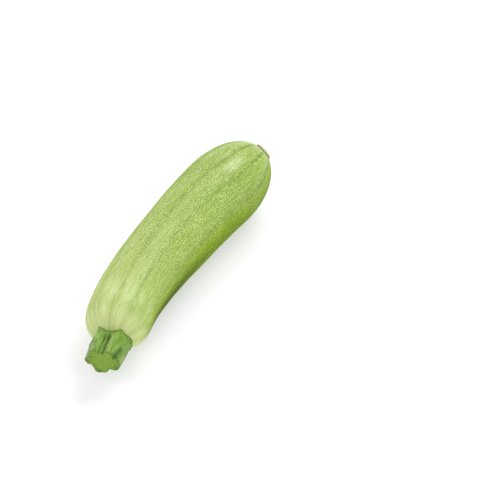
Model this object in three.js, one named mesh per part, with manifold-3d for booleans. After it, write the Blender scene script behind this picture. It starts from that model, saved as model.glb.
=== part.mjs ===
// A pale green courgette with its cut stalk, lying on its side.
//
// It has three grown pieces: the ribbed fruit, the five-ridged peduncle that held it on
// the plant, and the corky scar that the flower left at the other end.
//
// Units are millimetres. +X runs from the stalk to the blossom end, the middle of the
// fruit bows towards +Y, and +Z is up. The origin lies on the resting surface, under the
// middle of the whole courgette's box.

import * as THREE from 'three';
import { mergeVertices } from 'three/addons/utils/BufferGeometryUtils.js';
import Module from 'manifold-3d';

const wasm = await Module();
wasm.setup();

// Fruit, as a round body about a bent axis. Places along it are shares of its length.
const FRUIT_LENGTH = 179.3;
const BELLY_RADIUS = 27;
const NECK_RADIUS = 20.3;
const SWELL_START = -0.13;
const SWELL_END = 0.96;
const STEM_CAP_SHARE = 0.11;
const STEM_CAP_POWER = 2.4;
const BLOSSOM_CAP_SHARE = 0.236;
const BLOSSOM_CAP_POWER = 2.17;

// Bend of the fruit's axis: sideways at both ends, and up at the blossom end. The axis
// also climbs as the fruit thickens, which keeps the underside level.
const STEM_BOW = 14.2;
const BLOSSOM_BOW = 10.8;
const BOW_POWER = 3.1;
const AXIS_RISE = 8.8;
const BLOSSOM_LIFT = 8;
const LIFT_START = 0.75;

// Ribs: wide and narrow ones by turns, with sharp grooves between them that deepen towards
// both ends. They are weaker on the side that the fruit lay on as it grew, and wander, and
// at the blossom end they are even and turned a little. Groove depths are shares of the
// fruit's radius.
const RIB_COUNT = 10;
const FIRST_GROOVE = THREE.MathUtils.degToRad(12);
const GROOVE_SHARPNESS = 0.6;
const GROOVE_DEPTH = 0.026;
const STEM_GROOVE_GAIN = 0.022;
const STEM_GROOVE_END = 0.2;
const BLOSSOM_GROOVE_GAIN = 0.05;
const BLOSSOM_GROOVE_START = 0.7;
const UNDERSIDE_LOSS = 0.75;
const RIB_WANDER = THREE.MathUtils.degToRad(3.5);
const RIB_WANDER_WAVES = 1.4;
const RIB_UNEVENNESS = THREE.MathUtils.degToRad(2.5);
const BLOSSOM_TWIST = THREE.MathUtils.degToRad(2.8);
const BLOSSOM_TWIST_START = 0.6;
const BLOSSOM_TWIST_END = 0.75;

// Small flat spot that the fruit rests on.
const FOOT_DEPTH = 0.45;

// Mesh of the fruit: eight facets across each rib.
const FACETS_PER_RIB = 8;
const STEM_CAP_ROWS = 9;
const BODY_ROWS = 20;
const BLOSSOM_CAP_ROWS = 15;

// Peduncle: a short woody stalk with five ridges, which flare into lobes where it grips
// the fruit. It grows a little low and to the side of the fruit's axis, and leaves at a
// small turn from it, with its cut end raised and cut a little aslant. One valley is
// nearly filled in.
const PEDUNCLE_LENGTH = 18;
const PEDUNCLE_ROOT = 6;
const PEDUNCLE_TURN = THREE.MathUtils.degToRad(6.5);
const PEDUNCLE_RISE = THREE.MathUtils.degToRad(10.7);
const PEDUNCLE_DROP = 1.1;
const PEDUNCLE_SIDESTEP = 0.55;
const RIDGE_COUNT = 5;
const FIRST_RIDGE = THREE.MathUtils.degToRad(59);
const RIDGE_UNEVENNESS = THREE.MathUtils.degToRad(8.8);
const RIDGE_UNEVEN_FROM = THREE.MathUtils.degToRad(218);
const RIDGE_TWIST = THREE.MathUtils.degToRad(1.5);
const RIDGE_RADIUS = 10.5;
const LOBE_FLARE = 2.6;
const LOBE_FLARE_LENGTH = 15.6;
const LOBE_TIP = -2;
const LOBE_NOTCH = 2.7;
const VALLEY_START = 8;
const VALLEY_DEPTH = 3;
const VALLEY_DEPTH_AT_CUT = 2;
const VALLEY_SHARPNESS = 0.85;
const VALLEY_LOSS = 0.75;
const SHALLOW_VALLEY = THREE.MathUtils.degToRad(165);
const CUT_EDGE = 0.6;
const CUT_SLANT = 1.15;
const CUT_SLANT_FROM = THREE.MathUtils.degToRad(227);
const PEDUNCLE_FACETS = 60;
const PEDUNCLE_ROWS = 16;

// Blossom scar: a low domed pad of cork with five blunt corners.
const SCAR_RADIUS = 6.8;
const SCAR_RIM = 0.7;
const SCAR_DOME = 2;
const SCAR_CORNER = 0.06;
const SCAR_CORNER_COUNT = 5;
const SCAR_FACETS = 40;
const SCAR_DOME_ROWS = 5;

// Clearance between two grown-together pieces, which are separate solids here.
const SEAM = 0.3;

const FRUIT_COLOUR = 0xa9c46a;
const FRUIT_ROUGHNESS = 0.38;
const STALK_COLOUR = 0x5f9138;
const STALK_ROUGHNESS = 0.6;
const CORK_COLOUR = 0xc9ab77;
const CORK_ROUGHNESS = 0.85;

function smooth(value) {
  return THREE.MathUtils.smoothstep(value, 0, 1);
}

// Point of the fruit's axis at a share of its length.
function axisPoint(share) {
  const lift = Math.max(0, (share - LIFT_START) / (1 - LIFT_START));
  const bow = share < 0.5 ? STEM_BOW : BLOSSOM_BOW;
  return new THREE.Vector3(
    FRUIT_LENGTH * (share - 0.5),
    -bow * Math.abs(2 * share - 1) ** BOW_POWER,
    BELLY_RADIUS + AXIS_RISE * (share - 0.5) + BLOSSOM_LIFT * lift ** 2,
  );
}

// Directions at a share of the fruit's length: along the axis, sideways and upwards.
function axisFrame(share) {
  const step = 0.001;
  const before = axisPoint(Math.max(0, share - step));
  const after = axisPoint(Math.min(1, share + step));
  const along = after.sub(before).normalize();
  const side = new THREE.Vector3(0, 0, 1).cross(along).normalize();
  const up = along.clone().cross(side);
  return { along, side, up };
}

// Radius of the fruit at a share of its length, over the tops of the ribs.
function fruitRadius(share) {
  const swell = smooth((share - SWELL_START) / (SWELL_END - SWELL_START));
  const body = NECK_RADIUS + (BELLY_RADIUS - NECK_RADIUS) * swell;
  const intoStemCap = Math.max(0, 1 - share / STEM_CAP_SHARE);
  const intoBlossomCap = Math.max(0, 1 - (1 - share) / BLOSSOM_CAP_SHARE);
  const stemCap = (1 - intoStemCap ** STEM_CAP_POWER) ** (1 / STEM_CAP_POWER);
  const blossomCap = (1 - intoBlossomCap ** BLOSSOM_CAP_POWER) ** (1 / BLOSSOM_CAP_POWER);
  return body * stemCap * blossomCap;
}

// Share of the radius that the grooves take away, at an angle counted from one of them.
function grooveRelief(share, angle) {
  const groove = 1 - Math.abs(Math.sin(angle * RIB_COUNT / 2)) ** GROOVE_SHARPNESS;
  const stemGain = STEM_GROOVE_GAIN * smooth(1 - share / STEM_GROOVE_END);
  const intoBlossomEnd = (share - BLOSSOM_GROOVE_START) / (1 - BLOSSOM_GROOVE_START);
  const blossomGain = BLOSSOM_GROOVE_GAIN * smooth(intoBlossomEnd);
  const height = Math.sin(angle + FIRST_GROOVE);
  const strength = 1 - UNDERSIDE_LOSS * (1 - height) / 2;
  return (GROOVE_DEPTH + stemGain + blossomGain) * strength * groove;
}

// Angle about the axis where a groove or rib lies, once it has wandered.
function wanderedAngle(share, angle) {
  const wander = RIB_WANDER * Math.sin(share * RIB_WANDER_WAVES * 2 * Math.PI);
  const unevenness = RIB_UNEVENNESS * Math.cos(angle * RIB_COUNT / 2);
  const twisted = smooth(
    (share - BLOSSOM_TWIST_START) / (BLOSSOM_TWIST_END - BLOSSOM_TWIST_START),
  );
  const blossomTwist = (BLOSSOM_TWIST - unevenness) * twisted;
  return angle + FIRST_GROOVE + wander + unevenness + blossomTwist;
}

// Point on the fruit's skin, at an angle that is counted from a groove.
function skinPoint(share, angle, radius) {
  const { side, up } = axisFrame(share);
  const reach = radius * (1 - grooveRelief(share, angle));
  const turned = wanderedAngle(share, angle);
  return axisPoint(share)
    .addScaledVector(side, reach * Math.cos(turned))
    .addScaledVector(up, reach * Math.sin(turned));
}

// Geometry without the triangles that welding at a pole has closed up.
function withoutSlivers(geometry) {
  const index = geometry.index.array;
  const kept = [];
  for (let i = 0; i < index.length; i += 3) {
    const [a, b, c] = index.slice(i, i + 3);
    if (a !== b && b !== c && c !== a) {
      kept.push(a, b, c);
    }
  }
  geometry.setIndex(kept);
  return geometry;
}

// Lathe whose every vertex is then moved by a rule, welded into one closed surface.
function movedLathe(profile, facets, move) {
  const lathe = new THREE.LatheGeometry(profile, facets);
  lathe.deleteAttribute('normal');
  lathe.deleteAttribute('uv');
  const position = lathe.attributes.position;
  const point = new THREE.Vector3();
  for (let i = 0; i < position.count; i += 1) {
    point.fromBufferAttribute(position, i);
    const angle = Math.atan2(point.x, point.z);
    const moved = move(point.y, angle, Math.hypot(point.x, point.z));
    position.setXYZ(i, moved.x, moved.y, moved.z);
  }
  return withoutSlivers(mergeVertices(lathe));
}

function solidFrom(geometry) {
  return new wasm.Manifold(new wasm.Mesh({
    numProp: 3,
    vertProperties: new Float32Array(geometry.attributes.position.array),
    triVerts: new Uint32Array(geometry.index.array),
  }));
}

function geometryFrom(solid) {
  const mesh = solid.getMesh();
  const geometry = new THREE.BufferGeometry();
  geometry.setAttribute('position', new THREE.BufferAttribute(mesh.vertProperties, 3));
  geometry.setIndex(new THREE.BufferAttribute(mesh.triVerts, 1));
  return geometry;
}

function namedMesh(name, geometry, color, roughness) {
  geometry.computeVertexNormals();
  const material = new THREE.MeshStandardMaterial({ color, roughness, metalness: 0 });
  const mesh = new THREE.Mesh(geometry, material);
  mesh.name = name;
  return mesh;
}

// Share of the length where the blossom end has narrowed to the scar's radius.
function scarShare() {
  const narrowed = (SCAR_RADIUS / BELLY_RADIUS) ** BLOSSOM_CAP_POWER;
  return 1 - BLOSSOM_CAP_SHARE * (1 - (1 - narrowed) ** (1 / BLOSSOM_CAP_POWER));
}

// Shares of the length where the fruit has a ring of vertices, closer in both caps.
function fruitShares() {
  const shares = [];
  for (let row = 0; row < STEM_CAP_ROWS; row += 1) {
    const turn = row / STEM_CAP_ROWS * Math.PI / 2;
    shares.push(STEM_CAP_SHARE * (1 - Math.cos(turn)));
  }
  const bodyEnd = 1 - BLOSSOM_CAP_SHARE;
  for (let row = 0; row < BODY_ROWS; row += 1) {
    shares.push(THREE.MathUtils.lerp(STEM_CAP_SHARE, bodyEnd, row / BODY_ROWS));
  }
  for (let row = 0; row <= BLOSSOM_CAP_ROWS; row += 1) {
    const turn = row / BLOSSOM_CAP_ROWS * Math.PI / 2;
    shares.push(THREE.MathUtils.lerp(bodyEnd, scarShare(), Math.sin(turn)));
  }
  return shares;
}

// Fruit with its blossom end cut off flat where the scar sits. The lathe's height is the
// share of the length.
function fruitGeometry() {
  const shares = fruitShares();
  const profile = shares.map((share) => new THREE.Vector2(fruitRadius(share), share));
  profile.push(new THREE.Vector2(0, shares.at(-1)));
  return movedLathe(profile, RIB_COUNT * FACETS_PER_RIB, skinPoint);
}

// Presses the lowest skin flat and returns the height of the spot it rests on.
function pressFoot(geometry) {
  geometry.computeBoundingBox();
  const floor = geometry.boundingBox.min.z + FOOT_DEPTH;
  const position = geometry.attributes.position;
  for (let i = 0; i < position.count; i += 1) {
    position.setZ(i, Math.max(position.getZ(i), floor));
  }
  return floor;
}

// Geometry with its surface moved outwards by a clearance.
function grown(geometry, clearance) {
  const larger = geometry.clone();
  larger.computeVertexNormals();
  const position = larger.attributes.position;
  const normal = larger.attributes.normal;
  const point = new THREE.Vector3();
  const outwards = new THREE.Vector3();
  for (let i = 0; i < position.count; i += 1) {
    point.fromBufferAttribute(position, i);
    outwards.fromBufferAttribute(normal, i);
    point.addScaledVector(outwards, clearance);
    position.setXYZ(i, point.x, point.y, point.z);
  }
  return larger;
}

// How far the lobes spread past the ridges, at a distance out from the fruit's pole.
function lobeFlare(distance) {
  return LOBE_FLARE * Math.exp(-Math.max(0, distance - LOBE_TIP) / LOBE_FLARE_LENGTH);
}

// Radius of the peduncle over its ridges.
function ridgeRadius(distance) {
  return RIDGE_RADIUS + lobeFlare(distance);
}

// Share of its depth that a valley has lost, most in one of the five.
function valleyLoss(angle) {
  const nearness = (1 + Math.cos(FIRST_RIDGE - angle - SHALLOW_VALLEY)) / 2;
  return VALLEY_LOSS * nearness ** 6;
}

// Share of the radius taken away by the notches between the lobes, which leave the lobes
// pointed, and by the sharp valleys between the ridges, which start further out.
function valleyRelief(distance, angle) {
  const notch = LOBE_NOTCH * lobeFlare(distance) / LOBE_FLARE;
  const notchShape = Math.abs(Math.sin(angle * RIDGE_COUNT / 2));
  const valleyShape = 1 - Math.abs(Math.cos(angle * RIDGE_COUNT / 2)) ** VALLEY_SHARPNESS;
  const started = smooth((distance - LOBE_TIP) / VALLEY_START);
  const towardsCut = smooth(distance / PEDUNCLE_LENGTH);
  const valley = started * THREE.MathUtils.lerp(VALLEY_DEPTH, VALLEY_DEPTH_AT_CUT, towardsCut);
  const depth = notch * notchShape + valley * valleyShape;
  return (1 - valleyLoss(angle)) * depth / ridgeRadius(distance);
}

// Point on the peduncle, at an angle that is counted from a ridge.
function pedunclePoint(distance, angle, radius) {
  const { along, side, up } = axisFrame(0);
  const outwards = along.negate()
    .applyAxisAngle(new THREE.Vector3(0, 0, 1), -PEDUNCLE_TURN)
    .applyAxisAngle(side, PEDUNCLE_RISE);
  const reach = radius * (1 - valleyRelief(distance, angle));
  const even = FIRST_RIDGE - angle + RIDGE_TWIST * distance / PEDUNCLE_LENGTH;
  const turned = even + RIDGE_UNEVENNESS * Math.sin(even - RIDGE_UNEVEN_FROM);
  const slant = reach / RIDGE_RADIUS * Math.cos(turned - CUT_SLANT_FROM);
  const slanted = distance + CUT_SLANT * slant * smooth(distance / PEDUNCLE_LENGTH) ** 2;
  return axisPoint(0)
    .addScaledVector(outwards, slanted)
    .addScaledVector(side, PEDUNCLE_SIDESTEP + reach * Math.cos(turned))
    .addScaledVector(up, reach * Math.sin(turned) - PEDUNCLE_DROP);
}

// Peduncle with its foot cut away to the shape of the fruit's shoulder.
function peduncleGeometry(fruit) {
  const profile = [new THREE.Vector2(0, -PEDUNCLE_ROOT)];
  for (let row = 0; row <= PEDUNCLE_ROWS; row += 1) {
    const end = PEDUNCLE_LENGTH - CUT_EDGE;
    const distance = THREE.MathUtils.lerp(-PEDUNCLE_ROOT, end, row / PEDUNCLE_ROWS);
    profile.push(new THREE.Vector2(ridgeRadius(distance), distance));
  }
  profile.push(new THREE.Vector2(RIDGE_RADIUS - CUT_EDGE, PEDUNCLE_LENGTH));
  profile.push(new THREE.Vector2(0, PEDUNCLE_LENGTH));
  const stalk = movedLathe(profile, PEDUNCLE_FACETS, pedunclePoint);
  return geometryFrom(solidFrom(stalk).subtract(solidFrom(grown(fruit, SEAM))));
}

// Point on the scar, at a height over the flat of the fruit that it covers.
function scarPoint(height, angle, radius) {
  const { along, side, up } = axisFrame(scarShare());
  const reach = radius * (1 - SCAR_CORNER * (1 - Math.cos(SCAR_CORNER_COUNT * angle)) / 2);
  const turned = angle + FIRST_GROOVE;
  return axisPoint(scarShare())
    .addScaledVector(along, height)
    .addScaledVector(side, reach * Math.cos(turned))
    .addScaledVector(up, reach * Math.sin(turned));
}

function scarGeometry() {
  const profile = [new THREE.Vector2(0, SEAM), new THREE.Vector2(SCAR_RADIUS, SEAM)];
  for (let row = 0; row <= SCAR_DOME_ROWS; row += 1) {
    const turn = row / SCAR_DOME_ROWS * Math.PI / 2;
    const radius = row < SCAR_DOME_ROWS ? SCAR_RADIUS * Math.cos(turn) : 0;
    profile.push(new THREE.Vector2(radius, SEAM + SCAR_RIM + SCAR_DOME * Math.sin(turn)));
  }
  return movedLathe(profile, SCAR_FACETS, scarPoint);
}

const fruit = fruitGeometry();
const floor = pressFoot(fruit);
const courgette = new THREE.Group();
courgette.add(namedMesh('fruit', fruit, FRUIT_COLOUR, FRUIT_ROUGHNESS));
courgette.add(namedMesh('peduncle', peduncleGeometry(fruit), STALK_COLOUR, STALK_ROUGHNESS));
courgette.add(namedMesh('blossom_scar', scarGeometry(), CORK_COLOUR, CORK_ROUGHNESS));

const middle = new THREE.Box3().setFromObject(courgette).getCenter(new THREE.Vector3());
courgette.position.set(-middle.x, -middle.y, -floor);

export default courgette;
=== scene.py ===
# A pale green courgette with its cut stalk, lying on its side on a plain pale floor.
#
# Everything is in metres, in the part's own frame: +X runs from the stalk to the blossom
# end, the middle of the fruit bows towards +Y, and +Z is up from the resting surface.
import math
from functools import lru_cache

import bmesh
import bpy
from mathutils import Matrix, Vector, noise
from mathutils.bvhtree import BVHTree


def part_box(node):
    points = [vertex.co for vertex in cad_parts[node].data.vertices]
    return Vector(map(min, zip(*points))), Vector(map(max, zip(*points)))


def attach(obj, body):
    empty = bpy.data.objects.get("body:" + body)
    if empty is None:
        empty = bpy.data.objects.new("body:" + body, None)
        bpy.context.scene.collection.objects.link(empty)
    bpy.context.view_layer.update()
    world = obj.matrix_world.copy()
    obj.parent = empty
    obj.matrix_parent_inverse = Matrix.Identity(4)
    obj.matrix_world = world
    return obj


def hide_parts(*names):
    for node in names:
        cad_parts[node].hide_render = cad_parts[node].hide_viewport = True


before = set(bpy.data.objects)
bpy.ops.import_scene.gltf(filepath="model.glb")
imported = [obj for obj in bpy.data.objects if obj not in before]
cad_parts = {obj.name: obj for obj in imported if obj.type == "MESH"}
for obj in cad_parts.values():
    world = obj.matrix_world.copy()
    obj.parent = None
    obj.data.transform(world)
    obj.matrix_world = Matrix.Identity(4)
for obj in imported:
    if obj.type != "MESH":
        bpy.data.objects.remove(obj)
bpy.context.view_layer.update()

# --- Fruit -----------------------------------------------------------------------------
# The swollen ovary of the plant: watery flesh under a thin waxed rind, grown in one piece
# from the stalk outwards. Its ribs, wide and narrow by turns, follow the chambers inside.

MM = 0.001

# The body swells from the neck to the belly, and closes in a rounded cap at each end.
FRUIT_LENGTH = 179.3 * MM
BELLY_RADIUS = 27 * MM
NECK_RADIUS = 20.3 * MM
SWELL_START = -0.13
SWELL_END = 0.96
STEM_CAP_SHARE = 0.11
STEM_CAP_POWER = 2.4
BLOSSOM_CAP_SHARE = 0.236
BLOSSOM_CAP_POWER = 2.17

# Its axis bows sideways, rises from the stalk, and lifts once more at the blossom end.
STEM_BOW = 14.2 * MM
BLOSSOM_BOW = 10.8 * MM
BOW_POWER = 3.1
AXIS_RISE = 8.8 * MM
BLOSSOM_LIFT = 8 * MM
LIFT_START = 0.75

# Grooves part the ribs. They are deepest at both ends and faint underneath, and they wander,
# stand unevenly and twist a little. The lowest skin is pressed flat.
RIB_COUNT = 10
FIRST_GROOVE = math.radians(12)
GROOVE_SHARPNESS = 0.6
GROOVE_SOFTNESS = 0.2
GROOVE_DEPTH = 0.026
STEM_GROOVE_GAIN = 0.022
STEM_GROOVE_END = 0.2
BLOSSOM_GROOVE_GAIN = 0.05
BLOSSOM_GROOVE_START = 0.7
UNDERSIDE_LOSS = 0.75
RIB_WANDER = math.radians(3.5)
RIB_WANDER_WAVES = 1.4
RIB_UNEVENNESS = math.radians(2.5)
BLOSSOM_TWIST = math.radians(2.8)
BLOSSOM_TWIST_START = 0.6
BLOSSOM_TWIST_END = 0.75
FOOT_DEPTH = 0.45 * MM

# Half-width of the darker green band in a groove, as a share of the way to the crest, and how
# dark it is along the middle and by the stalk. It is darkest at the blossom end. The band is
# partly the rind's own deeper green and partly painted shade.
GROOVE_BAND = 0.36
GROOVE_SHADE = 0.5
GROOVE_SHADE_BY_STALK = 0.25

# The shallow hollow that holds the scar.
SCAR_RADIUS = 6.8 * MM
SCAR_HOLLOW = 0.8 * MM
HOLLOW_EDGE = 0.5

# Fine form of the rind: low swellings, and thin lengthwise ridges between the flecks.
SWELLING_SIZE = 16 * MM
SWELLING_HEIGHT = 0.22 * MM
RIDGE_PITCH = 2.4 * MM
RIDGE_RUN = 26 * MM
RIDGE_HEIGHT = 0.05 * MM

FACETS_PER_RIB = 20
STEM_CAP_ROWS = 44
BODY_ROWS = 260
BLOSSOM_CAP_ROWS = 80
HOLLOW_ROWS = 8
WELD_DISTANCE = 0.0001 * MM

# Patterns are drawn on the fruit as if it were straight and this thick.
PATTERN_RADIUS = 24 * MM


def smooth(value):
    """Eases from 0 to 1 as a value goes from 0 to 1."""
    value = min(1, max(0, value))
    return value * value * (3 - 2 * value)


def blend(start, end, share):
    """Value at a share of the way from a start to an end."""
    return start + (end - start) * share


def axis_point(share):
    """Point of the fruit's bent axis at a share of its length."""
    lift = max(0, (share - LIFT_START) / (1 - LIFT_START))
    bow = STEM_BOW if share < 0.5 else BLOSSOM_BOW
    return Vector((
        FRUIT_LENGTH * (share - 0.5),
        -bow * abs(2 * share - 1) ** BOW_POWER,
        BELLY_RADIUS + AXIS_RISE * (share - 0.5) + BLOSSOM_LIFT * lift ** 2,
    ))


@lru_cache(maxsize=None)
def axis_frame(share):
    """Directions along the axis, sideways and upwards at a share of the length."""
    step = 0.001
    along = axis_point(min(1, share + step)) - axis_point(max(0, share - step))
    along.normalize()
    side = Vector((0, 0, 1)).cross(along).normalized()
    return along, side, along.cross(side)


def fruit_radius(share):
    """Radius over the tops of the ribs."""
    swell = smooth((share - SWELL_START) / (SWELL_END - SWELL_START))
    body = blend(NECK_RADIUS, BELLY_RADIUS, swell)
    into_stem = max(0, 1 - share / STEM_CAP_SHARE)
    into_blossom = max(0, 1 - (1 - share) / BLOSSOM_CAP_SHARE)
    stem_cap = (1 - into_stem ** STEM_CAP_POWER) ** (1 / STEM_CAP_POWER)
    blossom_cap = (1 - into_blossom ** BLOSSOM_CAP_POWER) ** (1 / BLOSSOM_CAP_POWER)
    return body * stem_cap * blossom_cap


def groove_relief(share, angle):
    """Share of the radius that the grooves take away, at an angle from one of them."""
    from_groove = math.hypot(math.sin(angle * RIB_COUNT / 2), GROOVE_SOFTNESS)
    groove = max(0, 1 - from_groove ** GROOVE_SHARPNESS)
    stem_gain = STEM_GROOVE_GAIN * smooth(1 - share / STEM_GROOVE_END)
    into_blossom_end = (share - BLOSSOM_GROOVE_START) / (1 - BLOSSOM_GROOVE_START)
    blossom_gain = BLOSSOM_GROOVE_GAIN * smooth(into_blossom_end)
    strength = 1 - UNDERSIDE_LOSS * (1 - math.sin(angle + FIRST_GROOVE)) / 2
    return (GROOVE_DEPTH + stem_gain + blossom_gain) * strength * groove


def wandered_angle(share, angle):
    """Angle about the axis where a groove or rib lies, once it has wandered."""
    wander = RIB_WANDER * math.sin(share * RIB_WANDER_WAVES * 2 * math.pi)
    unevenness = RIB_UNEVENNESS * math.cos(angle * RIB_COUNT / 2)
    twisted = smooth((share - BLOSSOM_TWIST_START) / (BLOSSOM_TWIST_END - BLOSSOM_TWIST_START))
    return angle + FIRST_GROOVE + wander + blend(unevenness, BLOSSOM_TWIST, twisted)


def rind_relief(straight):
    """Height of the fine form of the rind, at a place on the fruit before it is bent."""
    swelling = noise.noise(straight / SWELLING_SIZE)
    run = Vector((straight.x / RIDGE_RUN, straight.y / RIDGE_PITCH, straight.z / RIDGE_PITCH))
    return SWELLING_HEIGHT * swelling + RIDGE_HEIGHT * noise.noise(run)


def skin_point(share, angle, radius, sunk=0):
    """Point on the rind at an angle from a groove, sunk into the end by some depth."""
    along, side, up = axis_frame(share)
    reach = radius * (1 - groove_relief(share, angle))
    turned = wandered_angle(share, angle)
    across = side * math.cos(turned) + up * math.sin(turned)
    return axis_point(share) + across * reach - along * sunk


def scar_share():
    """Share of the length where the blossom end has narrowed to the scar's radius."""
    narrowed = (SCAR_RADIUS / BELLY_RADIUS) ** BLOSSOM_CAP_POWER
    return 1 - BLOSSOM_CAP_SHARE * (1 - (1 - narrowed) ** (1 / BLOSSOM_CAP_POWER))


def fruit_rows():
    """(share of the length, radius, depth sunk) of every ring of vertices."""
    body_end = 1 - BLOSSOM_CAP_SHARE
    shares = []
    for row in range(STEM_CAP_ROWS):
        shares.append(STEM_CAP_SHARE * (1 - math.cos(row / STEM_CAP_ROWS * math.pi / 2)))
    for row in range(BODY_ROWS):
        shares.append(blend(STEM_CAP_SHARE, body_end, row / BODY_ROWS))
    for row in range(BLOSSOM_CAP_ROWS + 1):
        turn = math.sin(row / BLOSSOM_CAP_ROWS * math.pi / 2)
        shares.append(blend(body_end, scar_share(), turn))
    rows = [(share, fruit_radius(share), 0) for share in shares]
    end, rim, _ = rows[-1]
    for row in range(1, HOLLOW_ROWS + 1):
        inwards = row / HOLLOW_ROWS
        rows.append((end, rim * (1 - inwards), SCAR_HOLLOW * smooth(inwards / HOLLOW_EDGE)))
    return rows


def spun(profile, steps, layers=()):
    """Closed surface spun about the X axis from (place along it, radius) pairs, with
    empty layers on its vertices."""
    bm = bmesh.new()
    for name, kind in layers:
        getattr(bm.verts.layers, kind).new(name)
    verts = [bm.verts.new((place, 0, radius)) for place, radius in profile]
    edges = [bm.edges.new(pair) for pair in zip(verts, verts[1:])]
    bmesh.ops.spin(
        bm, geom=verts + edges, cent=(0, 0, 0), axis=(1, 0, 0), dvec=(0, 0, 0),
        angle=2 * math.pi, steps=steps, use_merge=True)
    return bm


def closed(bm):
    """Welds the poles and turns every face outwards."""
    bmesh.ops.remove_doubles(bm, verts=bm.verts[:], dist=WELD_DISTANCE)
    bmesh.ops.recalc_face_normals(bm, faces=bm.faces[:])
    return bm


def finished(name, bm, materials):
    """Object of a smooth-shaded mesh, at the origin, riding on the part."""
    mesh = bpy.data.meshes.new(name)
    bm.to_mesh(mesh)
    bm.free()
    mesh.polygons.foreach_set("use_smooth", [True] * len(mesh.polygons))
    for material in materials:
        mesh.materials.append(material)
    piece = bpy.data.objects.new(name, mesh)
    bpy.context.scene.collection.objects.link(piece)
    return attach(piece, "root")


def groove_band(angle):
    """How near a groove an angle is, from 0 on the crest of a rib to 1."""
    return math.exp(-(math.sin(angle * RIB_COUNT / 2) / GROOVE_BAND) ** 2)


def groove_shade(share, angle):
    """Darkness in and beside a groove, 0 to 1: partly deeper green, partly painted shade."""
    into_blossom_end = smooth((share - BLOSSOM_GROOVE_START) / (1 - BLOSSOM_GROOVE_START))
    into_stem_end = smooth(1 - share / STEM_GROOVE_END / 2)
    shade = blend(GROOVE_SHADE, GROOVE_SHADE_BY_STALK, into_stem_end)
    return groove_band(angle) * blend(shade, 1, into_blossom_end)


# The spun body has one unit of length for each row, which finds the row again.
fruit_profile = fruit_rows()
fruit_bm = spun(
    [(row, radius) for row, (_, radius, _) in enumerate(fruit_profile)],
    RIB_COUNT * FACETS_PER_RIB,
    [("straight", "float_vector"), ("groove", "float"), ("crest", "float"), ("scar", "float")])
straight_layer = fruit_bm.verts.layers.float_vector["straight"]
groove_layer, crest_layer, scar_layer = (
    fruit_bm.verts.layers.float[name] for name in ("groove", "crest", "scar"))
for vert in fruit_bm.verts:
    share, radius, sunk = fruit_profile[round(vert.co.x)]
    angle = math.atan2(vert.co.y, vert.co.z)
    around = angle + FIRST_GROOVE
    straight = Vector((
        FRUIT_LENGTH * share,
        PATTERN_RADIUS * math.cos(around),
        PATTERN_RADIUS * math.sin(around),
    ))
    vert[straight_layer] = straight
    vert[groove_layer] = groove_shade(share, angle)
    vert[crest_layer] = 1 - groove_band(angle)
    vert[scar_layer] = max(0, 1 - (radius - SCAR_RADIUS) / SCAR_RADIUS)
    thickness = min(1, radius / NECK_RADIUS)
    vert.co = skin_point(share, angle, radius + thickness * rind_relief(straight), sunk)

# Presses the lowest skin flat, and moves the fruit to where the part has it. The stalk and
# the scar take the same move.
floor_height = min(vert.co.z for vert in fruit_bm.verts) + FOOT_DEPTH
for vert in fruit_bm.verts:
    vert.co.z = max(vert.co.z, floor_height)
fruit_low = Vector(min(vert.co[axis] for vert in fruit_bm.verts) for axis in range(3))
cad_fruit_low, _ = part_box("fruit")
onto_part = Matrix.Translation(cad_fruit_low - fruit_low)
bmesh.ops.transform(fruit_bm, matrix=onto_part, verts=fruit_bm.verts[:])
closed(fruit_bm)
fruit_surface = BVHTree.FromBMesh(fruit_bm)


def linear(code):
    """Linear colour of an sRGB hex value."""
    shares = [int(code[i:i + 2], 16) / 255 for i in (1, 3, 5)]
    return [s / 12.92 if s <= 0.04045 else ((s + 0.055) / 1.055) ** 2.4 for s in shares] + [1]


def add_node(tree, kind, inputs=None, **settings):
    """Adds a node with its settings. Its inputs are values, or the sockets that feed them."""
    made = tree.nodes.new(kind)
    for name, value in settings.items():
        setattr(made, name, value)
    for name, value in (inputs or {}).items():
        if isinstance(value, bpy.types.NodeSocket):
            tree.links.new(value, made.inputs[name])
        else:
            made.inputs[name].default_value = value
    return made


def new_material(name):
    """Empty material, and its tree of nodes."""
    material = bpy.data.materials.new(name)
    material.use_nodes = True
    material.node_tree.nodes.clear()
    return material, material.node_tree


# Waxed rind: chlorophyll green under a clear cuticle, palest by the stalk and deepest low on
# the flanks, where the depth is partly painted shade. Pale flecks stand in lengthwise rows,
# and run together into streaks by the stalk. Pale blotches on the rib crests are partly
# painted highlight, and milky patches by the stalk are painted highlight. The gloss is soft:
# sharpest at the blossom end, and dull along the middle.
#
# Real flecks are 0.3 to 1 mm across, and the rows and streaks as thin. They are drawn at the
# coarse end of that, because finer ones don't show at this distance.
FLECK_PITCH = 0.85 * MM
FLECK_STRETCH = 1.5
ROW_PITCH = 0.85 * MM
STREAK_PITCH = 0.9 * MM
MILK_PITCH = 3.5 * MM
PATCH_SIZE = 12 * MM
ROW_HEIGHT_SHARE = 0.6
RIND_BUMP = 0.045 * MM
RIND_ROUGHNESS = 0.12
PATCH_ROUGHNESS = 0.25

rind, tree = new_material("waxed_rind")
straight = add_node(tree, "ShaderNodeAttribute", attribute_name="straight").outputs["Vector"]
groove, crest, scar_near = (
    add_node(tree, "ShaderNodeAttribute", attribute_name=name).outputs["Fac"]
    for name in ("groove", "crest", "scar"))
place_on_rind = add_node(tree, "ShaderNodeSeparateXYZ", {"Vector": straight}).outputs
along, towards_bow, towards_top = (place_on_rind[axis] for axis in "XYZ")
angle_round = add_node(
    tree, "ShaderNodeMath", {0: towards_bow, 1: towards_top}, operation="ARCTAN2")
around = add_node(
    tree, "ShaderNodeMath", {0: angle_round.outputs[0], 1: PATTERN_RADIUS},
    operation="MULTIPLY")
unrolled = add_node(tree, "ShaderNodeCombineXYZ", {"X": along, "Y": around.outputs[0]})

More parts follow.
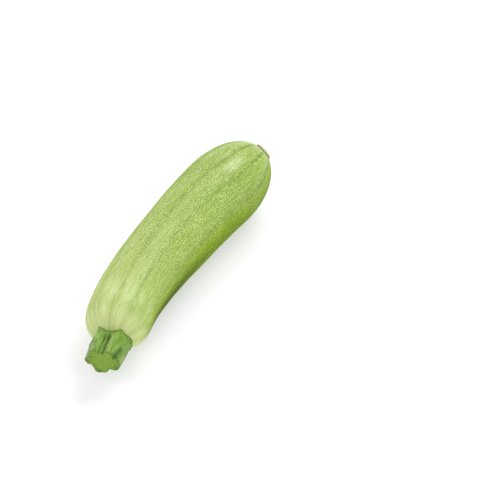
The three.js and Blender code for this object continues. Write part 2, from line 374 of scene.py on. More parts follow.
# Patterns drawn out along the fruit: name, pitch across, length of a run, octaves.
drawn_out = {}
for name, pitch, run, octaves in (
        ("rows", ROW_PITCH, 10 * MM, 1), ("streaks", STREAK_PITCH, 16 * MM, 2),
        ("grain", STREAK_PITCH, 3 * MM, 2), ("milk", MILK_PITCH, 14 * MM, 2),
        ("patches", PATCH_SIZE, 3 * PATCH_SIZE, 2)):
    shrunk = add_node(
        tree, "ShaderNodeMapping", {"Vector": straight, "Scale": (pitch / run, 1, 1)})
    drawn_out[name] = add_node(
        tree, "ShaderNodeTexNoise",
        {"Vector": shrunk.outputs[0], "Scale": 1 / pitch, "Detail": octaves,
         "Roughness": 0.6}).outputs[0]

fleck_place = add_node(
    tree, "ShaderNodeMapping",
    {"Vector": unrolled.outputs[0], "Scale": (1 / FLECK_STRETCH, 1, 1)})
fleck_cells = add_node(
    tree, "ShaderNodeTexVoronoi",
    {"Vector": fleck_place.outputs[0], "Scale": 1 / FLECK_PITCH, "Randomness": 0.8},
    voronoi_dimensions="2D")

# How far each colour and effect shows: its name, the value that it follows, where on that
# value it starts and ends, and its share there.
shares = {}
for name, value, start, end, least, most in (
        # Ripeness, from the stalk to the tip, and pale blotches on the crests of the ribs,
        # partly painted highlight.
        ("ripe", along, -5 * MM, 115 * MM, 0, 1),
        ("tip", along, 100 * MM, 130 * MM, 0, 0.42),
        # Deeper green on the tip's side away from the bow: painted shade.
        ("tip_side", along, 114 * MM, 140 * MM, 0, 0.8),
        ("patch", drawn_out["patches"], 0.35, 0.68, 0, 0.28),
        ("crested", crest, 0.5, 1, 0.2, 1),
        # Deeper green away from the bow, and lower down: partly the rind's own colour, partly
        # painted shade. The lowest skin away from the bow is tinted and darkened as painted
        # shade, most on the stalk half.
        ("side", towards_bow, -0.1 * PATTERN_RADIUS, -0.85 * PATTERN_RADIUS, 0, 0.6),
        ("low", towards_top, 0.75 * PATTERN_RADIUS, 0.1 * PATTERN_RADIUS, 0, 0.75),
        ("lowest", towards_top, 0.45 * PATTERN_RADIUS, -0.2 * PATTERN_RADIUS, 0, 1),
        ("unbowed", towards_bow, -0.1 * PATTERN_RADIUS, -0.8 * PATTERN_RADIUS, 0, 1),
        ("painted_shade_tint", towards_top, 0.6 * PATTERN_RADIUS, 0.1 * PATTERN_RADIUS, 0, 1),
        ("past_stalk", along, 5 * MM, 25 * MM, 0, 1),
        ("near_half", along, 104 * MM, 50 * MM, 0.45, 1),
        ("ripening", along, 10 * MM, 120 * MM, 0.1, 1),
        # Pale, streaked skin by the stalk, milky patches near it that are painted highlight,
        # and grain all over.
        ("at_stalk", along, 15 * MM, 4 * MM, 0, 0.75),
        ("milk", drawn_out["milk"], 0.45, 0.7, 0, 0.3),
        ("near_stalk", along, 40 * MM, 20 * MM, 0, 1),
        ("streak", drawn_out["streaks"], 0.42, 0.65, 0, 0.4),
        ("green_streak", drawn_out["streaks"], 0.5, 0.36, 0, 0.52),
        ("by_stalk", along, 60 * MM, 12 * MM, 0.1, 1),
        ("grain", drawn_out["grain"], 0.35, 0.65, 0, 0.3),
        # Grooves, broken up by the grain, and darker at the tip: partly painted shade.
        ("mottle", drawn_out["grain"], 0.3, 0.7, 0.9, 0.4),
        ("tip_groove", along, 112 * MM, 136 * MM, 1, 1.22),
        # Flecks, which cluster in rows, and the greener skin between rows and flecks.
        ("fleck", fleck_cells.outputs["Distance"], 0.45, 0.1, 0, 1),
        ("fleck_cell", fleck_cells.outputs["Color"], 0, 1, 0.15, 1),
        ("fleck_row", drawn_out["rows"], 0.4, 0.58, 0.2, 1),
        ("fleck_end", along, 10 * MM, 70 * MM, 0.35, 1),
        ("gap", fleck_cells.outputs["Distance"], 0.35, 0.7, 0, 0.55),
        ("between", drawn_out["rows"], 0.54, 0.38, 0, 0.5),
        # The dried edge around the scar.
        ("scar", scar_near, 0.9, 1, 0, 1),
        # How much of its relief the skin keeps towards the tip.
        ("relief", along, 124 * MM, 138 * MM, 1, 0.1),
        # What is added to the roughness.
        ("dull_shoulder", along, 10 * MM, 18 * MM, 0, 0.14),
        ("dull", along, 66 * MM, 88 * MM, 0, 0.16),
        ("glossy", along, 132 * MM, 141 * MM, 0, -0.32),
        ("glossy_stem", along, 16 * MM, 8 * MM, 0, -0.08),
        ("bloom", towards_bow, 0.35 * PATTERN_RADIUS, 0.8 * PATTERN_RADIUS, 0, 0.45),
        ("low_bloom", towards_top, 0.5 * PATTERN_RADIUS, 0, 0, 0.5)):
    shares[name] = add_node(
        tree, "ShaderNodeMapRange",
        {"Value": value, "From Min": start, "From Max": end, "To Min": least, "To Max": most},
        interpolation_type="SMOOTHSTEP").outputs[0]

# Shares that are the product of several.
for name, parts in (
        ("patch", ("patch", "crested")), ("deep", ("low", "ripening")),
        ("shaded", ("lowest", "past_stalk", "unbowed", "near_half")),
        ("painted_shade_tint", ("painted_shade_tint", "past_stalk", "unbowed")), ("painted_milky_highlight", ("milk", "near_stalk")),
        ("tip_side", ("tip_side", "side")), ("stem_streak", ("streak", "by_stalk")),
        ("green_streak", ("green_streak", "by_stalk")),
        ("flecks", ("fleck", "fleck_cell", "fleck_row", "fleck_end")),
        ("gaps", ("gap", "fleck_end")), ("mottle", ("mottle", "tip_groove"))):
    product = shares[parts[0]]
    for part in parts[1:]:
        product = add_node(
            tree, "ShaderNodeMath", {0: product, 1: shares[part]},
            operation="MULTIPLY").outputs[0]
    shares[name] = product
shares["groove"] = add_node(
    tree, "ShaderNodeMath", {0: groove, 1: shares["mottle"]}, operation="MULTIPLY").outputs[0]

# Each colour goes over the last. The first is the pale, unripe green by the stalk.
rind_colour = linear("#b0c178")
for name, blending, code in (
        ("ripe", "MIX", "#8aa150"), ("tip", "MIX", "#74923a"),
        # Pale crest blotches: partly painted highlight. Deeper green to the side: partly
        # painted shade.
        ("patch", "MIX", "#b4c57c"), ("side", "MIX", "#83a82c"),
        # Deeper green low down: partly painted shade.
        ("deep", "MIX", "#6c9014"), ("between", "MIX", "#7c982a"), ("gaps", "MIX", "#6f8c22"),
        # Deeper green on the tip's side away from the bow: painted shade.
        ("tip_side", "MIX", "#74932b"), ("at_stalk", "MIX", "#dbe79e"),
        ("stem_streak", "MIX", "#d3dda2"), ("green_streak", "MIX", "#9cb35c"),
        # Milky patches by the stalk: painted highlight. Groove band: partly painted shade.
        ("painted_milky_highlight", "MIX", "#dde8bc"), ("grain", "MIX", "#b7ca6c"), ("groove", "MIX", "#627f22"),
        # A tint that takes blue out of the lowest skin away from the bow: painted shade.
        ("flecks", "MIX", "#dce9a2"), ("painted_shade_tint", "MULTIPLY", "#fbffb0"),
        # Darkening of the lowest skin away from the bow: painted shade.
        ("shaded", "MULTIPLY", "#8e9a40"), ("scar", "MIX", "#3a3012")):
    rind_colour = add_node(
        tree, "ShaderNodeMix", {0: shares[name], 6: rind_colour, 7: linear(code)},
        data_type="RGBA", blend_type=blending).outputs[2]

relief = add_node(
    tree, "ShaderNodeMath",
    {0: drawn_out["rows"], 1: ROW_HEIGHT_SHARE, 2: shares["flecks"]},
    operation="MULTIPLY_ADD")
worn_relief = add_node(
    tree, "ShaderNodeMath", {0: relief.outputs[0], 1: shares["relief"]}, operation="MULTIPLY")
rind_bump = add_node(
    tree, "ShaderNodeBump",
    {"Height": worn_relief.outputs[0], "Strength": 1.0, "Distance": RIND_BUMP})
roughness = add_node(
    tree, "ShaderNodeMath",
    {0: drawn_out["patches"], 1: PATCH_ROUGHNESS, 2: RIND_ROUGHNESS},
    operation="MULTIPLY_ADD").outputs[0]
for name in ("dull_shoulder", "dull", "glossy", "glossy_stem", "bloom", "low_bloom"):
    roughness = add_node(
        tree, "ShaderNodeMath", {0: roughness, 1: shares[name]}, operation="ADD").outputs[0]
rind_shader = add_node(
    tree, "ShaderNodeBsdfPrincipled",
    {"Base Color": rind_colour, "Roughness": roughness, "IOR": 1.45,
     "Normal": rind_bump.outputs[0], "Subsurface Weight": 0.12,
     "Subsurface Radius": (1.0, 0.8, 0.3), "Subsurface Scale": 1.5 * MM,
     "Specular IOR Level": 0.3})
add_node(tree, "ShaderNodeOutputMaterial", {"Surface": rind_shader.outputs[0]})

fruit = finished("courgette_fruit", fruit_bm, [rind])
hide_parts("fruit")

# --- Peduncle --------------------------------------------------------------------------
# The woody stalk that held the fruit on the plant, cut through with a knife. Its five
# ridges spread into pointed lobes where it grips the fruit's shoulder.

# It leaves the fruit a little turned, raised, dropped and to one side of the axis.
PEDUNCLE_LENGTH = 18 * MM
PEDUNCLE_ROOT = 6 * MM
PEDUNCLE_TURN = math.radians(6.5)
PEDUNCLE_RISE = math.radians(10.7)
PEDUNCLE_DROP = 1.1 * MM
PEDUNCLE_SIDESTEP = 0.55 * MM

# Ridges, unevenly spaced, with a valley between each two, and a lobe at each ridge's foot.
RIDGE_COUNT = 5
FIRST_RIDGE = math.radians(59)
RIDGE_UNEVENNESS = math.radians(8.8)
RIDGE_UNEVEN_FROM = math.radians(218)
RIDGE_TWIST = math.radians(1.5)
RIDGE_RADIUS = 10.5 * MM
LOBE_FLARE = 2.6 * MM
LOBE_FLARE_LENGTH = 15.6 * MM
LOBE_TIP = -2 * MM
LOBE_NOTCH = 2.7 * MM
VALLEY_START = 8 * MM
VALLEY_DEPTH = 3 * MM
VALLEY_DEPTH_AT_CUT = 2 * MM
VALLEY_SHARPNESS = 0.85
VALLEY_LOSS = 0.75
SHALLOW_VALLEY = math.radians(165)

# The cut is slanted, with a thin bevel round it.
CUT_EDGE = 0.6 * MM
CUT_SLANT = 1.15 * MM
CUT_SLANT_FROM = math.radians(227)

# Fine form: two furrows side by side in each valley, and a pale rib beside the deeper one.
# Angles are from the middle of the valley.
FURROW_DEPTH = 1.6 * MM
DEEP_FURROW = math.radians(-7)
DEEP_FURROW_WIDTH = math.radians(5.5)
SIDE_FURROW = math.radians(10)
SIDE_FURROW_WIDTH = math.radians(3.8)
SIDE_FURROW_SHARE = 0.5
FURROW_STRAY = math.radians(5)
FURROW_STRAY_RUN = 5 * MM
FURROW_START = 10 * MM
FURROW_EASE = 3 * MM
FURROW_FLARE = 0.8
FURROW_FLARE_RUN = 12 * MM
SLANTED_VALLEY = math.radians(-126)
VALLEY_SLANT = math.radians(26)
PALE_RIB = math.radians(-18)
PALE_RIB_WIDTH = math.radians(5)
PALE_RIB_HEIGHT = 0.5 * MM
PALE_RIB_EASE = 3 * MM

# One facet is greyer than the rest, partly dried and partly painted sheen, and the ridges
# underneath are darkened as painted shade.
DRY_AND_SHEEN_FACET = math.radians(29)
DRY_AND_SHEEN_WIDTH = math.radians(27)
DRY_AND_SHEEN_GAIN = 1.2
UNDERSIDE = math.radians(144)
UNDERSIDE_STARTS = -0.1
UNDERSIDE_FULL = 0.3
RIM_EDGE = 1.3 * MM
RIM_ON_TOP = 0.45
RIDGE_CREST_WIDTH = 0.42
RIDGE_PAINTED_SHADE = 0.8

# Cords, fibres and uneven lobes cover the side, and the cut is ragged and a little hollow.
CORD_PITCH = 3 * MM
CORD_RUN = 18 * MM
CORD_HEIGHT = 0.5 * MM
FIBRE_PITCH = 0.9 * MM
FIBRE_RUN = 7 * MM
FIBRE_HEIGHT = 0.25 * MM
LOBE_PITCH = 2.6 * MM
LOBE_UNEVENNESS = 1.0 * MM
LOBE_RUN = 7 * MM
FOOT_EDGE = 0.9 * MM
BARK_STARTS = 0.6
BARK_FULL = 0.9
CUT_RAGGEDNESS = 0.5 * MM
CUT_RAGS = 6
CUT_HOLLOW = 0.5 * MM
CUT_HOLLOW_EDGE = 0.2
PEDUNCLE_FACETS = 320
PEDUNCLE_ROWS = 110
CUT_ROWS = 28


def lobe_flare(distance):
    """How far the lobes spread past the ridges, at a distance out from the fruit."""
    return LOBE_FLARE * math.exp(-max(0, distance - LOBE_TIP) / LOBE_FLARE_LENGTH)


def ridge_radius(distance):
    """Radius over the ridges."""
    return RIDGE_RADIUS + lobe_flare(distance)


def valley_loss(angle):
    """Share of its depth that a valley has lost, most in one of the five."""
    nearness = (1 + math.cos(FIRST_RIDGE - angle - SHALLOW_VALLEY)) / 2
    return VALLEY_LOSS * nearness ** 6


def valley_relief(distance, angle):
    """Share of the radius that the notches and valleys between the ridges take away."""
    notch = LOBE_NOTCH * lobe_flare(distance) / LOBE_FLARE
    notch_shape = abs(math.sin(angle * RIDGE_COUNT / 2))
    from_valley = abs(math.cos(angle * RIDGE_COUNT / 2))
    started = smooth((distance - LOBE_TIP) / VALLEY_START)
    towards_cut = smooth(distance / PEDUNCLE_LENGTH)
    valley = started * blend(VALLEY_DEPTH, VALLEY_DEPTH_AT_CUT, towards_cut)
    depth = notch * notch_shape + valley * (1 - from_valley ** VALLEY_SHARPNESS)
    return (1 - valley_loss(angle)) * depth / ridge_radius(distance)


def bump(place, middle, width):
    """How near a place is to the middle of something of some half-width, 0 to 1."""
    return math.exp(-((place - middle) / width) ** 2)


def from_valley_middle(angle):
    """Angle from the middle of the valley that a place is in."""
    ridge_step = 2 * math.pi / RIDGE_COUNT
    return (angle / ridge_step) % 1 * ridge_step - ridge_step / 2


def furrow(distance, angle):
    """How deep a place is in one of the two furrows of its valley, 0 to 1."""
    place = from_valley_middle(angle)
    slanted = max(0, math.cos(angle - place - SLANTED_VALLEY)) * distance / PEDUNCLE_LENGTH
    stray = FURROW_STRAY * noise.noise(Vector((angle - place, distance / FURROW_STRAY_RUN, 0)))
    wider = 1 + FURROW_FLARE * smooth(1 - distance / FURROW_FLARE_RUN) + slanted
    course = DEEP_FURROW + VALLEY_SLANT * slanted + stray
    deep = bump(place, course, wider * DEEP_FURROW_WIDTH)
    beside = SIDE_FURROW_SHARE * bump(place, SIDE_FURROW - stray, SIDE_FURROW_WIDTH)
    start = FURROW_START * valley_loss(angle)
    return smooth((distance - start) / FURROW_EASE) * min(1, deep + beside)


def pale_rib(distance, angle):
    """How near a place is to the pale rib beside the deep furrow of its valley, 0 to 1."""
    kept = 1 - valley_loss(angle)
    return kept * smooth(distance / PALE_RIB_EASE) * bump(
        from_valley_middle(angle), PALE_RIB, PALE_RIB_WIDTH)


def dryness_and_sheen(angle):
    """How near a place is to the greyer facet (partly dried, partly painted sheen), 0 to 1."""
    from_facet = FIRST_RIDGE - angle - DRY_AND_SHEEN_FACET
    nearness = bump(math.atan2(math.sin(from_facet), math.cos(from_facet)), 0, DRY_AND_SHEEN_WIDTH)
    return min(1, DRY_AND_SHEEN_GAIN * nearness)


def underneath(angle):
    """How far round towards the underside a place is, 0 to 1."""
    nearness = math.cos(angle - UNDERSIDE)
    return smooth((nearness - UNDERSIDE_STARTS) / (UNDERSIDE_FULL - UNDERSIDE_STARTS))


def bark_relief(distance, angle):
    """Height of the cords and fibres, and of the uneven edge of the lobes."""
    around = Vector((math.cos(angle), math.sin(angle), 0)) * RIDGE_RADIUS
    cord = noise.noise(around / CORD_PITCH + Vector((0, 0, distance / CORD_RUN)))
    fibre = noise.noise(around / FIBRE_PITCH + Vector((0, 0, distance / FIBRE_RUN)))
    lobe = noise.noise(around / LOBE_PITCH + Vector((0, 0, distance / LOBE_PITCH)))
    near_fruit = smooth(1 - distance / LOBE_RUN)
    return CORD_HEIGHT * cord + FIBRE_HEIGHT * fibre + LOBE_UNEVENNESS * near_fruit * lobe


def peduncle_point(distance, angle, radius):
    """Point on the stalk at an angle from a ridge."""
    along, side, up = axis_frame(0)
    outwards = Matrix.Rotation(-PEDUNCLE_TURN, 3, "Z") @ -along
    outwards = Matrix.Rotation(PEDUNCLE_RISE, 3, side) @ outwards
    foot_middle = axis_point(0) + side * PEDUNCLE_SIDESTEP - up * PEDUNCLE_DROP
    reach = radius * (1 - valley_relief(distance, angle))
    even = FIRST_RIDGE - angle + RIDGE_TWIST * distance / PEDUNCLE_LENGTH
    turned = even + RIDGE_UNEVENNESS * math.sin(even - RIDGE_UNEVEN_FROM)
    across = side * math.cos(turned) + up * math.sin(turned)
    slant = CUT_SLANT * reach / RIDGE_RADIUS * math.cos(turned - CUT_SLANT_FROM)
    slanted = distance + slant * smooth(distance / PEDUNCLE_LENGTH) ** 2
    return foot_middle + outwards * slanted + across * reach


# (distance out from the fruit, radius) of every ring of vertices: root, side, then the cut.
peduncle_profile = [(-PEDUNCLE_ROOT, 0)]
for row in range(PEDUNCLE_ROWS + 1):
    distance = blend(-PEDUNCLE_ROOT, PEDUNCLE_LENGTH - CUT_EDGE, row / PEDUNCLE_ROWS)
    peduncle_profile.append((distance, ridge_radius(distance)))
for row in range(CUT_ROWS + 1):
    inwards = row / CUT_ROWS
    face_radius = (RIDGE_RADIUS - CUT_EDGE) * (1 - inwards)
    hollow = CUT_HOLLOW * smooth(inwards / CUT_HOLLOW_EDGE)
    peduncle_profile.append((PEDUNCLE_LENGTH - hollow, face_radius))
peduncle_bm = spun(
    [(row, radius) for row, (_, radius) in enumerate(peduncle_profile)], PEDUNCLE_FACETS,
    [("fibre", "float_vector"), ("valley", "float"), ("pale_rib_and_sheen", "float"), ("face", "float"),
     ("rim", "float"), ("foot", "float")])
fibre_layer = peduncle_bm.verts.layers.float_vector["fibre"]
valley_layer, pale_rib_and_sheen_layer, face_layer, rim_layer, foot_layer = (
    peduncle_bm.verts.layers.float[name]
    for name in ("valley", "pale_rib_and_sheen", "face", "rim", "foot"))
first_face_row = 1 + PEDUNCLE_ROWS + 1
for vert in peduncle_bm.verts:
    row = round(vert.co.x)
    distance, radius = peduncle_profile[row]
    angle = math.atan2(vert.co.y, vert.co.z)
    on_side = smooth((radius / RIDGE_RADIUS - BARK_STARTS) / (BARK_FULL - BARK_STARTS))
    ragged = noise.noise(Vector((math.cos(angle), math.sin(angle), 0)) * CUT_RAGS)
    near_cut = smooth(distance / PEDUNCLE_LENGTH) ** 4
    cut = distance + CUT_RAGGEDNESS * ragged * on_side * near_cut
    pattern_radius = min(radius, RIDGE_RADIUS)
    vert[fibre_layer] = Vector((
        distance, pattern_radius * math.cos(angle), pattern_radius * math.sin(angle)))
    in_furrow = furrow(distance, angle)
    on_rib = pale_rib(distance, angle)
    vert[valley_layer] = in_furrow
    # Pale ribs and the greyer facet, whose colour is partly painted sheen.
    vert[pale_rib_and_sheen_layer] = max(on_rib, dryness_and_sheen(angle))
    vert[face_layer] = 1.0 if row >= first_face_row else 0.0
    from_edge = abs(PEDUNCLE_LENGTH - distance) + max(0, RIDGE_RADIUS - radius)
    below = underneath(angle)
    # The cut's edge is darker; the edge and the ridge crests underneath: painted shade.
    crest = bump(math.sin(angle * RIDGE_COUNT / 2), 0, RIDGE_CREST_WIDTH) * on_side
    on_rim = blend(RIM_ON_TOP, 1, below) * (1 - smooth(from_edge / RIM_EDGE))
    vert[rim_layer] = max(on_rim, RIDGE_PAINTED_SHADE * below * crest)
    relief = bark_relief(distance, angle) + PALE_RIB_HEIGHT * on_rib - FURROW_DEPTH * in_furrow
    raised = radius + on_side * relief
    vert.co = peduncle_point(cut, angle, raised)
bmesh.ops.transform(peduncle_bm, matrix=onto_part, verts=peduncle_bm.verts[:])
closed(peduncle_bm)

# How near each place is to the fruit's skin, for the browned foot.
for vert in peduncle_bm.verts:
    _, _, _, gap = fruit_surface.find_nearest(vert.co)
    vert[foot_layer] = 1 - smooth(gap / FOOT_EDGE)

# Fibrous bark: dull green with paler strands, darkest down in the furrows, partly as painted
# shade, and greyed where it dries. Its pale ribs and one facet are greyer, partly as painted
# sheen. The cut's edge is darker, and the edges and ridges underneath darker still, as
# painted shade. Only a faint sheen. The cut shows paler, juicy pith.
#
# Real fibres are about 0.2 mm thick. They are drawn coarser, so that they show.
FIBRE_SIZE = 0.7 * MM
FIBRE_STRETCH = 10
BLOTCH_SIZE = 3 * MM
PITH_SIZE = 0.9 * MM
BARK_BUMP = 0.2 * MM
FOOT_BROWNING = 0.8
EDGE_AND_SHADE_DARKENING = 0.8

bark, tree = new_material("fibrous_stalk_bark")
fibre = add_node(tree, "ShaderNodeAttribute", attribute_name="fibre").outputs["Vector"]
valley, pale_rib_and_sheen, face, foot, rim = (
    add_node(tree, "ShaderNodeAttribute", attribute_name=name).outputs["Fac"]
    for name in ("valley", "pale_rib_and_sheen", "face", "foot", "rim"))
fibre_place = add_node(
    tree, "ShaderNodeMapping", {"Vector": fibre, "Scale": (1 / FIBRE_STRETCH, 1, 1)})
fibres = add_node(
    tree, "ShaderNodeTexNoise",
    {"Vector": fibre_place.outputs[0], "Scale": 1 / FIBRE_SIZE, "Detail": 3.0,
     "Roughness": 0.65}).outputs[0]
blotches, pith = (
    add_node(
        tree, "ShaderNodeTexNoise",
        {"Vector": fibre, "Scale": 1 / size, "Detail": 3.0}).outputs[0]
    for size in (BLOTCH_SIZE, PITH_SIZE))

# How far each shows: the noise that it follows, where it starts and ends, and its share there.
strand_share, dry_share, rib_strands, furrow_strands, pith_share = (
    add_node(
        tree, "ShaderNodeMapRange",
        {"Value": value, "From Min": start, "From Max": end, "To Min": least, "To Max": most}
    ).outputs[0]
    for value, start, end, least, most in (
        (fibres, 0.32, 0.66, 0, 1), (blotches, 0.5, 0.75, 0, 0.3),
        (fibres, 0.35, 0.6, 0.3, 0.85), (fibres, 0.35, 0.65, 1, 0.5),
        (pith, 0.35, 0.65, 0, 1)))
rib_share, furrow_share, foot_share, rim_share = (
    add_node(tree, "ShaderNodeMath", {0: one, 1: other}, operation="MULTIPLY").outputs[0]
    for one, other in (
        (pale_rib_and_sheen, rib_strands), (valley, furrow_strands), (foot, FOOT_BROWNING),
        (rim, EDGE_AND_SHADE_DARKENING)))

bark_green, face_green = (
    add_node(
        tree, "ShaderNodeMix", {0: share, 6: linear(dark), 7: linear(light)}, data_type="RGBA"
    ).outputs[2]
    for share, dark, light in (
        (strand_share, "#4a7118", "#84a93a"), (pith_share, "#6f9724", "#8bb03a")))
stalk_colour = bark_green
for share, colour in (
        # Pale rib and facet colour: partly painted sheen. Furrow colour: partly painted shade.
        # Rim colour: the cut's dark edge, and painted shade underneath.
        (dry_share, linear("#8aa274")), (rib_share, linear("#90ac74")),
        (furrow_share, linear("#1f400a")), (foot_share, linear("#55661a")),
        (face, face_green), (rim_share, linear("#3a561c"))):
    stalk_colour = add_node(
        tree, "ShaderNodeMix", {0: share, 6: stalk_colour, 7: colour}, data_type="RGBA"
    ).outputs[2]
bark_bump = add_node(
    tree, "ShaderNodeBump", {"Height": fibres, "Strength": 0.8, "Distance": BARK_BUMP})
bark_shader = add_node(
    tree, "ShaderNodeBsdfPrincipled",
    {"Base Color": stalk_colour, "Roughness": 0.5, "IOR": 1.45,
     "Normal": bark_bump.outputs[0], "Specular IOR Level": 0.3, "Sheen Weight": 0.1,
     "Sheen Roughness": 0.4, "Sheen Tint": (0.85, 0.95, 0.8, 1)})
add_node(tree, "ShaderNodeOutputMaterial", {"Surface": bark_shader.outputs[0]})

peduncle = finished("cut_peduncle", peduncle_bm, [bark])
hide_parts("peduncle")

# --- Blossom scar ----------------------------------------------------------------------
# The pad of cork that healed over the fruit's tip where the flower dropped off. It is a
# low dome with five blunt corners, one for each petal, and sits in a shallow hollow.

# It stands on its root in the hollow, with a thin seam around it.
SCAR_ROOT_RADIUS = 0.96 * SCAR_RADIUS
SCAR_RIM = 0.7 * MM
SCAR_DOME = 2 * MM
SCAR_CORNER = 0.06
SCAR_CORNER_COUNT = 5
SCAR_SEAM = 0.3 * MM
SCAR_BROWNED = 0.75 * MM
PORE_SIZE = 0.9 * MM
PORE_HEIGHT = 0.18 * MM
FINE_PORE_SCALE = 2.3
FINE_PORE_SHARE = 0.5
SCAR_FACETS = 180
SCAR_DOME_ROWS = 50


def scar_point(height, angle, radius):
    """Point on the scar at a height over the fruit's end."""
    along, side, up = axis_frame(scar_share())
    reach = radius * (1 - SCAR_CORNER * (1 - math.cos(SCAR_CORNER_COUNT * angle)) / 2)
    turned = angle + FIRST_GROOVE
    across = side * math.cos(turned) + up * math.sin(turned)
    return axis_point(scar_share()) + along * height + across * reach


# (height, radius) of every ring of vertices: the root, then the dome.
scar_profile = [(-SCAR_HOLLOW / 2, 0), (-SCAR_HOLLOW / 2, SCAR_ROOT_RADIUS)]
for row in range(SCAR_DOME_ROWS + 1):
    turn = row / SCAR_DOME_ROWS * math.pi / 2
    height = SCAR_SEAM + SCAR_RIM + SCAR_DOME * math.sin(turn)
    scar_profile.append((height, max(0, SCAR_RADIUS * math.cos(turn))))
scar_bm = spun(
    [(row, radius) for row, (_, radius) in enumerate(scar_profile)], SCAR_FACETS,
    [("cork", "float_vector"), ("rim", "float")])
cork_layer = scar_bm.verts.layers.float_vector["cork"]
rim_layer = scar_bm.verts.layers.float["rim"]
for vert in scar_bm.verts:
    height, radius = scar_profile[round(vert.co.x)]
    angle = math.atan2(vert.co.y, vert.co.z)
    flat = Vector((height, radius * math.cos(angle), radius * math.sin(angle)))
    vert[cork_layer] = flat
    vert[rim_layer] = smooth(1 - (height - SCAR_SEAM) / SCAR_BROWNED)
    fine_pores = noise.noise(FINE_PORE_SCALE * flat / PORE_SIZE)
    pores = noise.noise(flat / PORE_SIZE) + FINE_PORE_SHARE * fine_pores
    raised = height + PORE_HEIGHT * pores if height > 0 else height
    vert.co = scar_point(raised, angle, radius)
bmesh.ops.transform(scar_bm, matrix=onto_part, verts=scar_bm.verts[:])
closed(scar_bm)

# Dry cork: quite dull and tan, with darker pores and a browned edge.
#
# Real pores are 0.1 to 0.3 mm across. They are drawn coarser, so that they show.
CORK_GRAIN = 0.7 * MM
CORK_BUMP = 0.2 * MM
EDGE_BROWNING = 0.9

cork, tree = new_material("dry_cork")
cork_place = add_node(tree, "ShaderNodeAttribute", attribute_name="cork").outputs["Vector"]
rim = add_node(tree, "ShaderNodeAttribute", attribute_name="rim").outputs["Fac"]
grains = add_node(
    tree, "ShaderNodeTexNoise",
    {"Vector": cork_place, "Scale": 1 / CORK_GRAIN, "Detail": 4.0,
     "Roughness": 0.7}).outputs[0]
grain_share = add_node(
    tree, "ShaderNodeMapRange", {"Value": grains, "From Min": 0.35, "From Max": 0.6})
tan = add_node(
    tree, "ShaderNodeMix",
    {0: grain_share.outputs[0], 6: linear("#b5ac84"), 7: linear("#ddd6b6")}, data_type="RGBA")
rim_share = add_node(
    tree, "ShaderNodeMath", {0: rim, 1: EDGE_BROWNING}, operation="MULTIPLY")
cork_colour = add_node(
    tree, "ShaderNodeMix",
    {0: rim_share.outputs[0], 6: tan.outputs[2], 7: linear("#2c240e")}, data_type="RGBA")
cork_bump = add_node(
    tree, "ShaderNodeBump", {"Height": grains, "Strength": 0.8, "Distance": CORK_BUMP})
cork_shader = add_node(
    tree, "ShaderNodeBsdfPrincipled",
    {"Base Color": cork_colour.outputs[2], "Roughness": 0.85, "IOR": 1.45,
     "Normal": cork_bump.outputs[0]})
add_node(tree, "ShaderNodeOutputMaterial", {"Surface": cork_shader.outputs[0]})

scar = finished("blossom_scar_cork", scar_bm, [cork])
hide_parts("blossom_scar")

# --- Floor, light and camera -----------------------------------------------------------
# A plain white light table in a light tent, with soft boxes above, on the left and low on
# the right. The camera stands in front of the stalk and looks down.

CAMERA_AZIMUTH = math.radians(-57.42)
CAMERA_ELEVATION = math.radians(46.69)
CAMERA_DISTANCE = 914.8 * MM
CAMERA_RIGHT = 51.24 * MM
CAMERA_UP = 15.01 * MM
CAMERA_LENS = 100
CAMERA_SENSOR = 36
CAMERA_CLIP = 0.01

backwards = Vector((
    math.sin(CAMERA_AZIMUTH) * math.cos(CAMERA_ELEVATION),
    -math.cos(CAMERA_AZIMUTH) * math.cos(CAMERA_ELEVATION),
    math.sin(CAMERA_ELEVATION),
))
right = Vector((math.cos(CAMERA_AZIMUTH), math.sin(CAMERA_AZIMUTH), 0))
upwards = backwards.cross(right)
lens = bpy.data.cameras.new("camera")
lens.lens = CAMERA_LENS
lens.sensor_width = CAMERA_SENSOR
lens.clip_start = CAMERA_CLIP
camera = bpy.data.objects.new("camera", lens)
turn = Matrix((right, upwards, backwards)).transposed().to_4x4()
eye = backwards * CAMERA_DISTANCE + right * CAMERA_RIGHT + upwards * CAMERA_UP
camera.matrix_world = Matrix.Translation(eye) @ turn
bpy.context.scene.collection.objects.link(camera)
bpy.context.scene.camera = camera

# Matt white sheet, lit from below as well: it is nearly white, with only a faint shadow.
FLOOR_REACH = 3
FLOOR_GLOW = 0.5

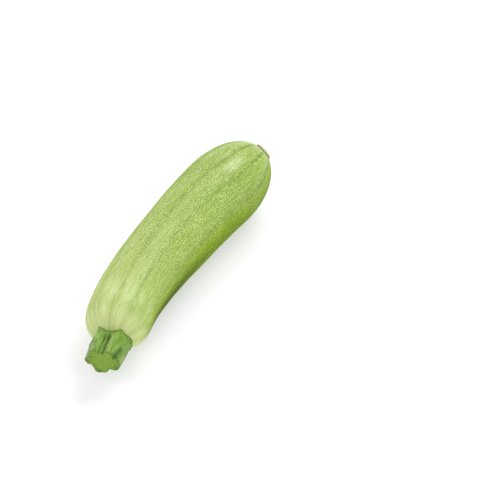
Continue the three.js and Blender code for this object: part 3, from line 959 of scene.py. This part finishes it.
floor_bm = bmesh.new()
bmesh.ops.create_grid(floor_bm, x_segments=1, y_segments=1, size=FLOOR_REACH)
floor_mesh = bpy.data.meshes.new("floor")
floor_bm.to_mesh(floor_mesh)
floor_bm.free()
paint, tree = new_material("matt_white_floor")
paint_shader = add_node(
    tree, "ShaderNodeBsdfPrincipled",
    {"Base Color": linear("#b8b8b8"), "Roughness": 0.9, "Specular IOR Level": 0.1,
     "Emission Color": (1, 1, 1, 1), "Emission Strength": FLOOR_GLOW})
add_node(tree, "ShaderNodeOutputMaterial", {"Surface": paint_shader.outputs[0]})
floor_mesh.materials.append(paint)
floor = bpy.data.objects.new("floor", floor_mesh)
bpy.context.scene.collection.objects.link(floor)


LIGHT_DISTANCE = 1.2


def softbox(name, direction, width, height, power):
    """Area light of a size in metres and a power in watts that looks at the courgette, in a
    direction of (right, up, back) as the camera sees it."""
    lamp = bpy.data.lights.new(name, "AREA")
    lamp.energy = power
    lamp.shape = "RECTANGLE"
    lamp.size = width
    lamp.size_y = height
    away = right * direction[0] + upwards * direction[1] + backwards * direction[2]
    away.normalize()
    facing = away.to_track_quat("Z", "Y").to_matrix().to_4x4()
    box = bpy.data.objects.new(name, lamp)
    box.matrix_world = Matrix.Translation(away * LIGHT_DISTANCE) @ facing
    bpy.context.scene.collection.objects.link(box)


softbox("overhead", (0.36, 0.88, 0.26), width=0.85, height=0.4, power=9.2)
softbox("left", (-0.65, 0.45, 0.61), width=0.5, height=0.4, power=2.2)
softbox("right_fill", (0.88, -0.05, 0.47), width=0.9, height=0.9, power=4)

# The tent is whitest on the left, and dimmer on the right, where the shadow falls.
TENT_DIMMEST = 0.45
TENT_BRIGHTEST = 0.95
TENT_TINT = (1.0, 0.975, 1.03, 1)

world = bpy.data.worlds.new("light_tent")
world.use_nodes = True
tree = world.node_tree
tree.nodes.clear()
heading = add_node(tree, "ShaderNodeTexCoord").outputs["Generated"]
leftness = add_node(
    tree, "ShaderNodeVectorMath", {0: heading, 1: -right}, operation="DOT_PRODUCT")
tent_light = add_node(
    tree, "ShaderNodeMapRange",
    {"Value": leftness.outputs["Value"], "From Min": -1.0, "From Max": 1.0,
     "To Min": TENT_DIMMEST, "To Max": TENT_BRIGHTEST})
tent = add_node(
    tree, "ShaderNodeBackground",
    {"Color": TENT_TINT, "Strength": tent_light.outputs[0]})
add_node(tree, "ShaderNodeOutputWorld", {"Surface": tent.outputs[0]})
bpy.context.scene.world = world
bpy.context.scene.view_settings.view_transform = "Standard"
